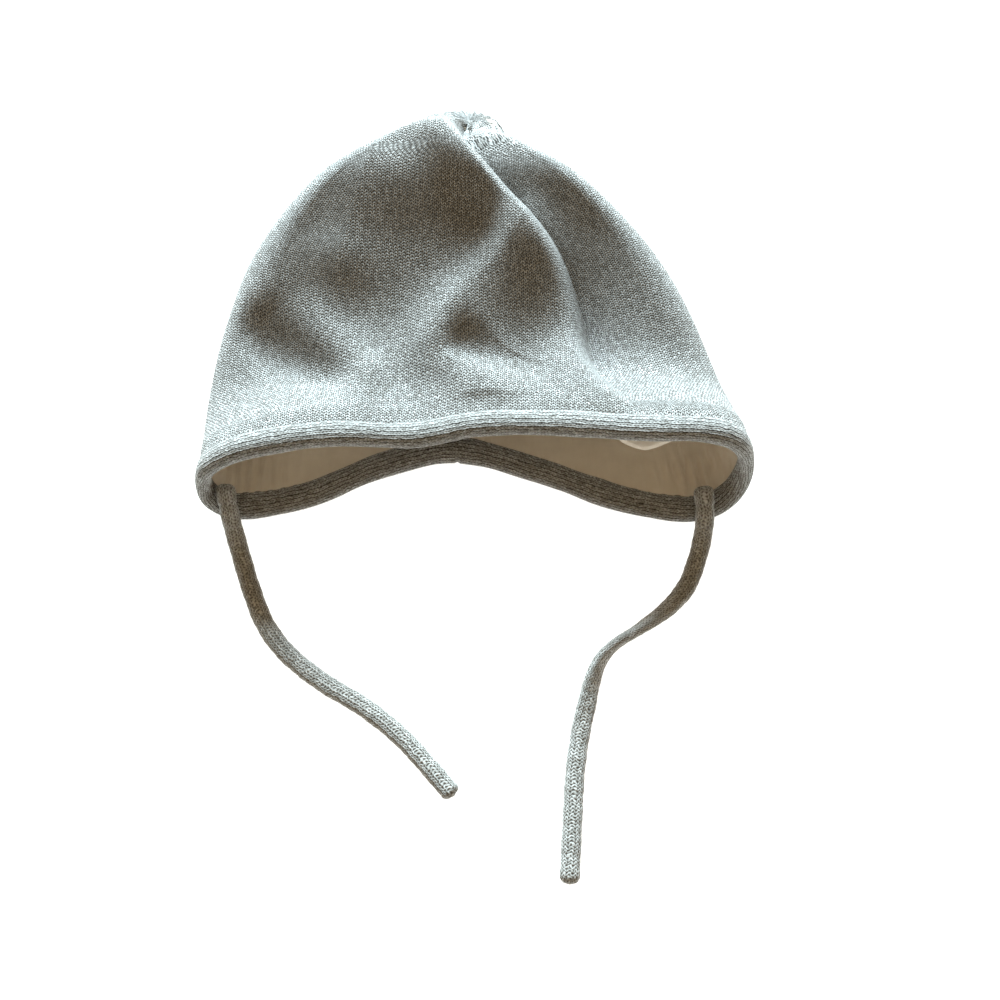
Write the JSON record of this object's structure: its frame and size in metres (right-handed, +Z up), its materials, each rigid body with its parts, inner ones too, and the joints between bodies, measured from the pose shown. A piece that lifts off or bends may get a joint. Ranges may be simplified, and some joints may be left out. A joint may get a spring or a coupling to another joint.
{
  "type": "knitted pilot cap",
  "caption": "Infant's lined knitted pilot cap lying on its back: a rolled rib binding dips into ear flaps, the crown gathers to a tip, and flat knitted ties lie spread out.",
  "frame": {"origin": "on the table, under the middle of the cap's own box, with the ties left out", "axes": "+X across the cap from one ear flap to the other, +Y from the mouth towards the gathered tip, +Z up from the table through both layers"},
  "size_m": [0.1876, 0.2812, 0.0457],
  "materials": {
    "shell_knit": "matt melange stocking stitch",
    "lining_jersey": "matt fine jersey",
    "binding_knit": "matt melange rib",
    "tie_knit": "matt melange stocking stitch"
  },
  "bodies": {
    "root": {"crown": "shell_knit", "lining": "lining_jersey", "edge_band": "binding_knit", "tie_left": "tie_knit", "tie_right": "tie_knit"}
  },
  "joints": []
}
